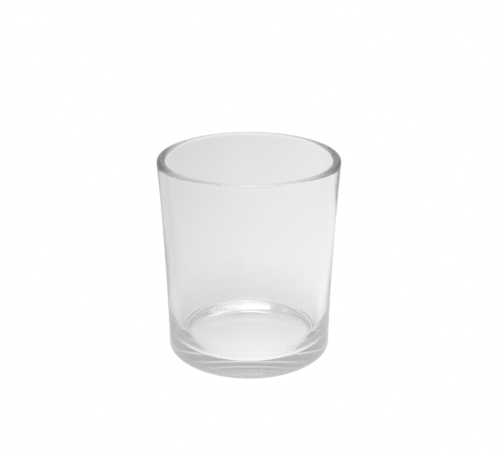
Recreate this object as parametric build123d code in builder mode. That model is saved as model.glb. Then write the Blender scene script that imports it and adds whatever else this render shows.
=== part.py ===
"""Clear glass tealight holder: one heavy-based tumbler pressed from a single gob of glass.

Millimetres, +Z up. The origin is the centre of the foot, on the surface that the glass stands on.
"""

import os

from build123d import *

# Driving dimensions
HEIGHT = 65.0
RIM_DIAMETER = 58.3  # across the lip before its edges are rounded
BASE_DIAMETER = 53.7
WALL_BOW = 0.47  # how far the outside dips inwards from a straight taper, half way up
RIM_WALL = 2.7
SHOULDER_WALL = 3.4  # where the inside starts to draw in towards the floor
FLOOR_WALL = 4.9  # level with the floor, before that corner is rounded
SHOULDER_HEIGHT = 11.0
SHOULDER_RADIUS = 30.0
FLOOR_THICKNESS = 4.5
FLOOR_CORNER_RADIUS = 2.7
HEEL_RADIUS = 1.0
RIM_EDGE_RADIUS = 1.25
FOOT_DIAMETER = 46.0  # inner edge of the ring that the glass stands on
FOOT_EDGE_RADIUS = 3.0  # eases the edge between that ring and the hollow
PUNT_HEIGHT = 1.8  # rise of the shallow hollow under the base

# Worked out from them
rim_radius = RIM_DIAMETER / 2
base_radius = BASE_DIAMETER / 2
foot_radius = FOOT_DIAMETER / 2
inner_rim_radius = rim_radius - RIM_WALL
inner_floor_radius = base_radius - FLOOR_WALL
inner_middle_height = (HEIGHT + SHOULDER_HEIGHT) / 2
inner_middle_wall = (RIM_WALL + SHOULDER_WALL) / 2


def outside_radius(height):
    """Radius of the outside of the wall at a height above the foot."""
    share = height / HEIGHT
    taper = base_radius + (rim_radius - base_radius) * share
    return taper - 4 * WALL_BOW * share * (1 - share)


def round_corner(section, point, radius):
    """Round the corner of the section that stands at the point."""
    fillet(section.vertices().sort_by_distance(point)[0], radius)


def make_glass_cup():
    """The whole holder: half its section, rounded at the corners and turned round +Z."""
    with BuildPart() as glass_cup:
        with BuildSketch(Plane.XZ) as section:
            with BuildLine():
                punt = ThreePointArc(
                    (0, PUNT_HEIGHT),
                    (foot_radius / 2, PUNT_HEIGHT * 0.75),
                    (foot_radius, 0),
                )
                foot = Line(punt @ 1, (base_radius, 0))
                outside = ThreePointArc(
                    foot @ 1,
                    (outside_radius(HEIGHT / 2), HEIGHT / 2),
                    (rim_radius, HEIGHT),
                )
                lip = Line(outside @ 1, (inner_rim_radius, HEIGHT))
                inside = ThreePointArc(
                    lip @ 1,
                    (outside_radius(inner_middle_height) - inner_middle_wall, inner_middle_height),
                    (outside_radius(SHOULDER_HEIGHT) - SHOULDER_WALL, SHOULDER_HEIGHT),
                )
                draw_in = Line(inside @ 1, (inner_floor_radius, FLOOR_THICKNESS))
                floor = Line(draw_in @ 1, (0, FLOOR_THICKNESS))
                Line(floor @ 1, punt @ 0)
            make_face()
            round_corner(section, foot @ 0, FOOT_EDGE_RADIUS)
            round_corner(section, foot @ 1, HEEL_RADIUS)
            round_corner(section, lip @ 0, RIM_EDGE_RADIUS)
            round_corner(section, lip @ 1, RIM_EDGE_RADIUS)
            round_corner(section, draw_in @ 0, SHOULDER_RADIUS)
            round_corner(section, draw_in @ 1, FLOOR_CORNER_RADIUS)
        revolve(axis=Axis.Z)
    glass_cup.part.label = "glass_cup"
    return glass_cup.part


os.makedirs("parts", exist_ok=True)
export_step(make_glass_cup(), "parts/glass_cup.step")
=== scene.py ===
import math

import bpy
import numpy as np
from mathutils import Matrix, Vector


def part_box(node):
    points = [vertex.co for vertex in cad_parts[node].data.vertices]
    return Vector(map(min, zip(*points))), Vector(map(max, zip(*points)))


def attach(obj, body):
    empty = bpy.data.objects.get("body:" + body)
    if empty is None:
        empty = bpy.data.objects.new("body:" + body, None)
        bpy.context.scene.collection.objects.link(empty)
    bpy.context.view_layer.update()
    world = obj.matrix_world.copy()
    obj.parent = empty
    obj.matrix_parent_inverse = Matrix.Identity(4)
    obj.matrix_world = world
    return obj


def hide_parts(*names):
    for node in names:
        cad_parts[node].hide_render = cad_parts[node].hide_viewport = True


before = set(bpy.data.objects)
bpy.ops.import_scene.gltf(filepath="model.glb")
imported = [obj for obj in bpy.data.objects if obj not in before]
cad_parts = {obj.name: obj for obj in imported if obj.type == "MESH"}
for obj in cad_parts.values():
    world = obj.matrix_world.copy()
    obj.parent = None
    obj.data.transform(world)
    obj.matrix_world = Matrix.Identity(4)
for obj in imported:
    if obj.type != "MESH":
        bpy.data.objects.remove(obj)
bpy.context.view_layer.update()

# ---- sizes, in metres, the same as the CAD model's ----
low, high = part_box("glass_cup")
HEIGHT = high.z - low.z
RIM_RADIUS = 0.02915
BASE_RADIUS = 0.02685
WALL_BOW = 0.00047
RIM_WALL = 0.0027
SHOULDER_WALL = 0.0034
FLOOR_WALL = 0.0049
SHOULDER_HEIGHT = 0.0110
SHOULDER_RADIUS = 0.0300
FLOOR_THICKNESS = 0.0045
FLOOR_CORNER_RADIUS = 0.0027
HEEL_RADIUS = 0.0010
RIM_EDGE_RADIUS = 0.00125
FOOT_RADIUS = 0.0230
FOOT_EDGE_RADIUS = 0.0030
PUNT_HEIGHT = 0.0018

# ---- how finely the mesh is drawn ----
SEGMENTS = 360
PUNT_POINTS = 25
OUTSIDE_POINTS = 40
INSIDE_POINTS = 36
FLOOR_POINTS = 21
HEEL_SHARE = 0.1  # the wall's own points start here, as a share of the height, clear of the heel's arc
LIP_SHARE = 0.96  # and end here, clear of the lip's
SHOULDER_CLEARANCE = 0.004  # inside, they end this far above the shoulder
FLAT_SHARE = 0.8  # the floor's own points start at this share of its radius

# ---- what the glass is like ----
GLASS_IOR = 1.5
DEPTH_COLOUR = (0.42, 0.50, 0.42, 1)
DEPTH_DENSITY = 3.0
SMUDGE_SCALE, SMUDGE_DETAIL = 90.0, 4.0
SMUDGE_NOISE = (0.45, 0.80)  # the noise values at which a smudge begins and is at its strongest
SMUDGE_ROUGHNESS = 0.02
SCUFF_HEIGHT = 0.0014
SCUFF_ROUGHNESS = 0.18
RIPPLE_SCALE, RIPPLE_DETAIL = 70.0, 1.0
RIPPLE_DEPTH = 0.00002
WAVE_DEPTH = 0.00006
# Waves of the wall: how many to a turn, and how far they shift per metre of height and of radius
BROAD_WAVE = (2, 110, 300)
CLOSE_WAVE = (5, -170, 700)

# ---- stage, light and camera ----
FLOOR_HALF_WIDTH = 4.0
AIR_FILM = 0.00005  # between the foot and the paper, which really touch only here and there
# Painted light on the paper that the glass shows: a painted pool of light by distance from its brightest
# spot, where X counts double, bright near the cup with a darker painted shadow ring around it, fading far
# off
PAINTED_POOL_CENTRE = (0, -0.04, 0)
PAINTED_POOL_STRETCH = (2, 1, 1)
PAINTED_LIGHT_POOL = [(0.0, 0.98), (0.04, 0.86), (0.075, 0.74), (0.11, 0.83), (0.19, 0.79), (0.9, 0.50)]
PAINTED_LIGHT_SLOPE = (1.9, 0)  # its gain per metre towards +X and +Y: painted light, brighter towards +X as if lit from that side
PAINTED_LIGHT_GAIN = (0.88, 1.1)  # the least and the most that the slope makes of it
# Brightness of the room by the sine of the height, its gain towards +X and +Y, and that gain's limits
ROOM = [(0.0, 0.50), (0.6, 0.42), (0.9, 0.68)]
ROOM_SLOPE = (0.0, 0.1)
ROOM_GAIN = (0.3, 1.7)
# Name, place, size and brightness
SOFTBOXES = [
    ("overhead", (0.08, 0.07, 0.60), (0.44, 0.44), 0.6),
    ("front", (-0.12, -0.38, 0.57), (0.40, 0.40), 0.7),
]
SENSOR_WIDTH = 36  # mm, as is the lens
LENS = 67.2
CAMERA_PLACE = (0, -0.2804, 0.1522)
CAMERA_DIP = 0.3781  # radians below the horizontal
NEAR_CLIP = 0.01
BOUNCES = 64  # a ray in the thick base meets many surfaces before it leaves


# ---- the glass ----
def outside_radius(height):
    """Radius of the outside of the wall: it flares, and bows inwards by WALL_BOW half way up."""
    share = height / HEIGHT
    return BASE_RADIUS + (RIM_RADIUS - BASE_RADIUS) * share - 4 * WALL_BOW * share * (1 - share)


def inside_radius(height):
    """Radius of the inside above the shoulder: the wall thins evenly towards the rim."""
    share = (height - SHOULDER_HEIGHT) / (HEIGHT - SHOULDER_HEIGHT)
    return outside_radius(height) - SHOULDER_WALL - (RIM_WALL - SHOULDER_WALL) * share


def rounded(before, corner, after, radius, steps):
    """Points along the arc that rounds the corner between two straight runs."""
    to_before = (before - corner).normalized()
    to_after = (after - corner).normalized()
    half_angle = to_before.angle(to_after) / 2
    reach = radius / math.tan(half_angle)
    centre = corner + (to_before + to_after).normalized() * radius / math.sin(half_angle)
    start = corner + to_before * reach - centre
    end = corner + to_after * reach - centre
    turn = start.angle_signed(end)
    arc = []
    for step in range(steps + 1):
        angle = -turn * step / steps
        cosine, sine = math.cos(angle), math.sin(angle)
        across = start.x * cosine - start.y * sine
        up = start.x * sine + start.y * cosine
        arc.append(centre + Vector((across, up)))
    return arc


def glass_outline():
    """Half the cup's section, from the middle of the base out, up, over the lip and down to the floor."""
    shares = np.linspace(0, 1, PUNT_POINTS)
    punt = [Vector((FOOT_RADIUS * s, PUNT_HEIGHT * (1 - s * s))) for s in shares]
    heights = [0, *np.linspace(HEEL_SHARE * HEIGHT, LIP_SHARE * HEIGHT, OUTSIDE_POINTS), HEIGHT]
    outside = [Vector((outside_radius(z), z)) for z in heights]
    lowest = SHOULDER_HEIGHT + SHOULDER_CLEARANCE
    heights = [HEIGHT, *np.linspace(LIP_SHARE * HEIGHT, lowest, INSIDE_POINTS), SHOULDER_HEIGHT]
    inside = [Vector((inside_radius(z), z)) for z in heights]
    corner = Vector((BASE_RADIUS - FLOOR_WALL, FLOOR_THICKNESS))
    shares = np.linspace(FLAT_SHARE, 0, FLOOR_POINTS)
    floor = [Vector((corner.x * s, FLOOR_THICKNESS)) for s in shares]
    return (
        punt[:-2]
        + rounded(punt[-2], punt[-1], outside[0], FOOT_EDGE_RADIUS, 6)
        + rounded(punt[-1], outside[0], outside[1], HEEL_RADIUS, 12)
        + outside[1:-1]
        + rounded(outside[-2], outside[-1], inside[0], RIM_EDGE_RADIUS, 12)
        + rounded(outside[-1], inside[0], inside[1], RIM_EDGE_RADIUS, 12)
        + inside[1:-1]
        + rounded(inside[-2], inside[-1], corner, SHOULDER_RADIUS, 10)
        + rounded(inside[-1], corner, floor[-1], FLOOR_CORNER_RADIUS, 20)
        + floor
    )


def wave(shape, radius, height, turn):
    """A wave's value at a place on the wall, between -1 and 1."""
    to_a_turn, per_height, per_radius = shape
    return math.sin(to_a_turn * turn + per_height * height + per_radius * radius)


def waved(radius, height, turn):
    """The radius drawn in a little, by the slow unevenness that pressing leaves in a glass wall."""
    first = wave(BROAD_WAVE, radius, height, turn)
    second = wave(CLOSE_WAVE, radius, height, turn)
    return radius - WAVE_DEPTH * (0.5 + 0.25 * first + 0.25 * second)


def lathe(name, outline, segments):
    """A closed mesh of revolution about +Z; the outline starts and ends on the axis."""
    ring = outline[1:-1]
    turns = [2 * math.pi * i / segments for i in range(segments)]
    points = [(0, 0, outline[0].y)]
    for p in ring:
        for t in turns:
            radius = waved(p.x, p.y, t)
            points.append((radius * math.cos(t), radius * math.sin(t), p.y))
    points.append((0, 0, outline[-1].y))
    last = len(points) - 1
    faces = []
    for i in range(segments):
        j = (i + 1) % segments
        faces.append((0, 1 + j, 1 + i))
        for row in range(len(ring) - 1):
            a = 1 + row * segments
            b = a + segments
            faces.append((a + i, a + j, b + j, b + i))
        top = 1 + (len(ring) - 1) * segments
        faces.append((top + i, top + j, last))
    mesh = bpy.data.meshes.new(name)
    mesh.from_pydata(points, [], faces)
    mesh.shade_smooth()
    piece = bpy.data.objects.new(name, mesh)
    bpy.context.scene.collection.objects.link(piece)
    return piece


def noise(nodes, links, place, scale, detail):
    """Noise at a place."""
    texture = nodes.new("ShaderNodeTexNoise")
    texture.inputs["Scale"].default_value = scale
    texture.inputs["Detail"].default_value = detail
    links.new(place, texture.inputs["Vector"])
    return texture.outputs["Fac"]


def ranged(nodes, links, value, source, target):
    """The value moved from one range to another, and kept inside it."""
    node = nodes.new("ShaderNodeMapRange")
    for socket, number in zip(("From Min", "From Max", "To Min", "To Max"), (*source, *target)):
        node.inputs[socket].default_value = number
    links.new(value, node.inputs["Value"])
    return node.outputs["Result"]


def glass_material():
    """Clear glass: a faint green in its depth, a slight ripple, smudges, and a scuffed foot."""
    material = bpy.data.materials.new("clear_glass")
    material.use_nodes = True
    nodes, links = material.node_tree.nodes, material.node_tree.links
    shader = nodes["Principled BSDF"]
    shader.inputs["Base Color"].default_value = (1, 1, 1, 1)
    shader.inputs["IOR"].default_value = GLASS_IOR
    shader.inputs["Transmission Weight"].default_value = 1.0

    place = nodes.new("ShaderNodeTexCoord").outputs["Object"]
    smudge = noise(nodes, links, place, SMUDGE_SCALE, SMUDGE_DETAIL)
    haze = ranged(nodes, links, smudge, SMUDGE_NOISE, (0.0, SMUDGE_ROUGHNESS))
    axes = nodes.new("ShaderNodeSeparateXYZ")
    links.new(place, axes.inputs["Vector"])
    scuff = ranged(nodes, links, axes.outputs["Z"], (SCUFF_HEIGHT, 0.0), (0.0, SCUFF_ROUGHNESS))
    roughest = nodes.new("ShaderNodeMath")
    roughest.operation = "MAXIMUM"
    links.new(haze, roughest.inputs[0])
    links.new(scuff, roughest.inputs[1])
    links.new(roughest.outputs["Value"], shader.inputs["Roughness"])

    bump = nodes.new("ShaderNodeBump")
    bump.inputs["Strength"].default_value = 1.0
    bump.inputs["Distance"].default_value = RIPPLE_DEPTH
    links.new(noise(nodes, links, place, RIPPLE_SCALE, RIPPLE_DETAIL), bump.inputs["Height"])
    links.new(bump.outputs["Normal"], shader.inputs["Normal"])

    absorb = nodes.new("ShaderNodeVolumeAbsorption")
    absorb.inputs["Color"].default_value = DEPTH_COLOUR
    absorb.inputs["Density"].default_value = DEPTH_DENSITY
    links.new(absorb.outputs["Volume"], nodes["Material Output"].inputs["Volume"])
    return material


cup = lathe("clear_glass_cup", glass_outline(), SEGMENTS)
cup.data.materials.append(glass_material())
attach(cup, "root")
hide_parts("glass_cup")


# ---- stage, light and camera ----
def unseen_by_camera(nodes, links, hidden, shown):
    """Shader that is `shown` where the camera looks straight at it and `hidden` to every other ray."""
    path = nodes.new("ShaderNodeLightPath")
    mix = nodes.new("ShaderNodeMixShader")
    links.new(path.outputs["Is Camera Ray"], mix.inputs["Fac"])
    links.new(hidden, mix.inputs[1])
    links.new(shown, mix.inputs[2])
    return mix.outputs["Shader"]


def tilted(nodes, links, vector, slope, gain):
    """1 plus the vector's dot product with the slope, kept between the gain's least and most."""
    dot = nodes.new("ShaderNodeVectorMath")
    dot.operation = "DOT_PRODUCT"
    dot.inputs[1].default_value = (*slope, 0)
    links.new(vector, dot.inputs[0])
    least, most = gain
    return ranged(nodes, links, dot.outputs["Value"], (least - 1, most - 1), gain)


def graded(nodes, links, value, steps):
    """Grey that follows the value through the steps, each (value, brightness)."""
    ramp = nodes.new("ShaderNodeValToRGB")
    elements = ramp.color_ramp.elements
    while len(elements) < len(steps):
        elements.new(0.5)
    for element, (position, bright) in zip(elements, steps):
        element.position, element.color = position, (bright, bright, bright, 1)
    links.new(value, ramp.inputs["Fac"])
    return ramp.outputs["Color"]


def stage_floor():
    """Paper that is white to the camera; what the glass shows of it is graded grey, a painted pool of
    light and painted shadow that glows by emission instead of being lit.
    """
    mesh = bpy.data.meshes.new("pale_floor")
    half = FLOOR_HALF_WIDTH
    drop = -AIR_FILM
    corners = [(-half, -half, drop), (half, -half, drop), (half, half, drop), (-half, half, drop)]
    mesh.from_pydata(corners, [], [(0, 1, 2, 3)])
    floor = bpy.data.objects.new("pale_floor", mesh)
    bpy.context.scene.collection.objects.link(floor)
    material = bpy.data.materials.new("paper_painted_light")
    material.use_nodes = True
    nodes, links = material.node_tree.nodes, material.node_tree.links
    nodes.remove(nodes["Principled BSDF"])
    place = nodes.new("ShaderNodeNewGeometry").outputs["Position"]
    stretch = nodes.new("ShaderNodeVectorMath")
    stretch.operation = "MULTIPLY"
    stretch.inputs[1].default_value = PAINTED_POOL_STRETCH
    links.new(place, stretch.inputs[0])
    distance = nodes.new("ShaderNodeVectorMath")
    distance.operation = "DISTANCE"
    distance.inputs[1].default_value = PAINTED_POOL_CENTRE
    links.new(stretch.outputs["Vector"], distance.inputs[0])
    # painted light: the paper glows with a painted pool of light and a painted shadow ring around the
    # cup, not lit by the lamps
    painted_light = nodes.new("ShaderNodeEmission")
    links.new(graded(nodes, links, distance.outputs["Value"], PAINTED_LIGHT_POOL), painted_light.inputs["Color"])
    # painted light: the paper's glow rises towards +X, as if a lamp stood on that side
    links.new(tilted(nodes, links, place, PAINTED_LIGHT_SLOPE, PAINTED_LIGHT_GAIN), painted_light.inputs["Strength"])
    white = nodes.new("ShaderNodeEmission")
    surface = unseen_by_camera(nodes, links, painted_light.outputs["Emission"], white.outputs["Emission"])
    links.new(surface, nodes["Material Output"].inputs["Surface"])
    mesh.materials.append(material)


def studio_world():
    """A room that is white to the camera; what the glass shows of it is grey, brighter overhead."""
    world = bpy.data.worlds.new("studio")
    bpy.context.scene.world = world
    world.use_nodes = True
    nodes, links = world.node_tree.nodes, world.node_tree.links
    room = nodes["Background"]
    direction = nodes.new("ShaderNodeTexCoord").outputs["Generated"]
    parts = nodes.new("ShaderNodeSeparateXYZ")
    links.new(direction, parts.inputs["Vector"])
    links.new(graded(nodes, links, parts.outputs["Z"], ROOM), room.inputs["Color"])
    links.new(tilted(nodes, links, direction, ROOM_SLOPE, ROOM_GAIN), room.inputs["Strength"])
    white = nodes.new("ShaderNodeBackground")
    white.inputs["Color"].default_value = (1, 1, 1, 1)
    surface = unseen_by_camera(nodes, links, room.outputs["Background"], white.outputs["Background"])
    links.new(surface, nodes["World Output"].inputs["Surface"])


def softbox(name, place, size, brightness):
    """A rectangular lamp that faces the cup and glows evenly."""
    light = bpy.data.lights.new(name, "AREA")
    light.shape = "RECTANGLE"
    light.size, light.size_y = size
    light.energy = brightness * math.pi * size[0] * size[1]
    lamp = bpy.data.objects.new(name, light)
    lamp.location = place
    lamp.rotation_euler = (-Vector(place)).to_track_quat("-Z", "Y").to_euler()
    bpy.context.scene.collection.objects.link(lamp)


def studio_camera():
    """A camera in front of the cup that looks a little down on it."""
    camera = bpy.data.cameras.new("camera")
    camera.sensor_width = SENSOR_WIDTH
    camera.lens = LENS
    camera.clip_start = NEAR_CLIP
    view = bpy.data.objects.new("camera", camera)
    view.location = CAMERA_PLACE
    view.rotation_euler = (math.pi / 2 - CAMERA_DIP, 0, 0)
    bpy.context.scene.collection.objects.link(view)
    bpy.context.scene.camera = view


stage_floor()
studio_world()
for box in SOFTBOXES:
    softbox(*box)
studio_camera()
bpy.context.scene.view_settings.view_transform = "Standard"
cycles = bpy.context.scene.cycles
cycles.max_bounces = BOUNCES
cycles.transmission_bounces = BOUNCES
cycles.glossy_bounces = BOUNCES
cycles.blur_glossy = 0
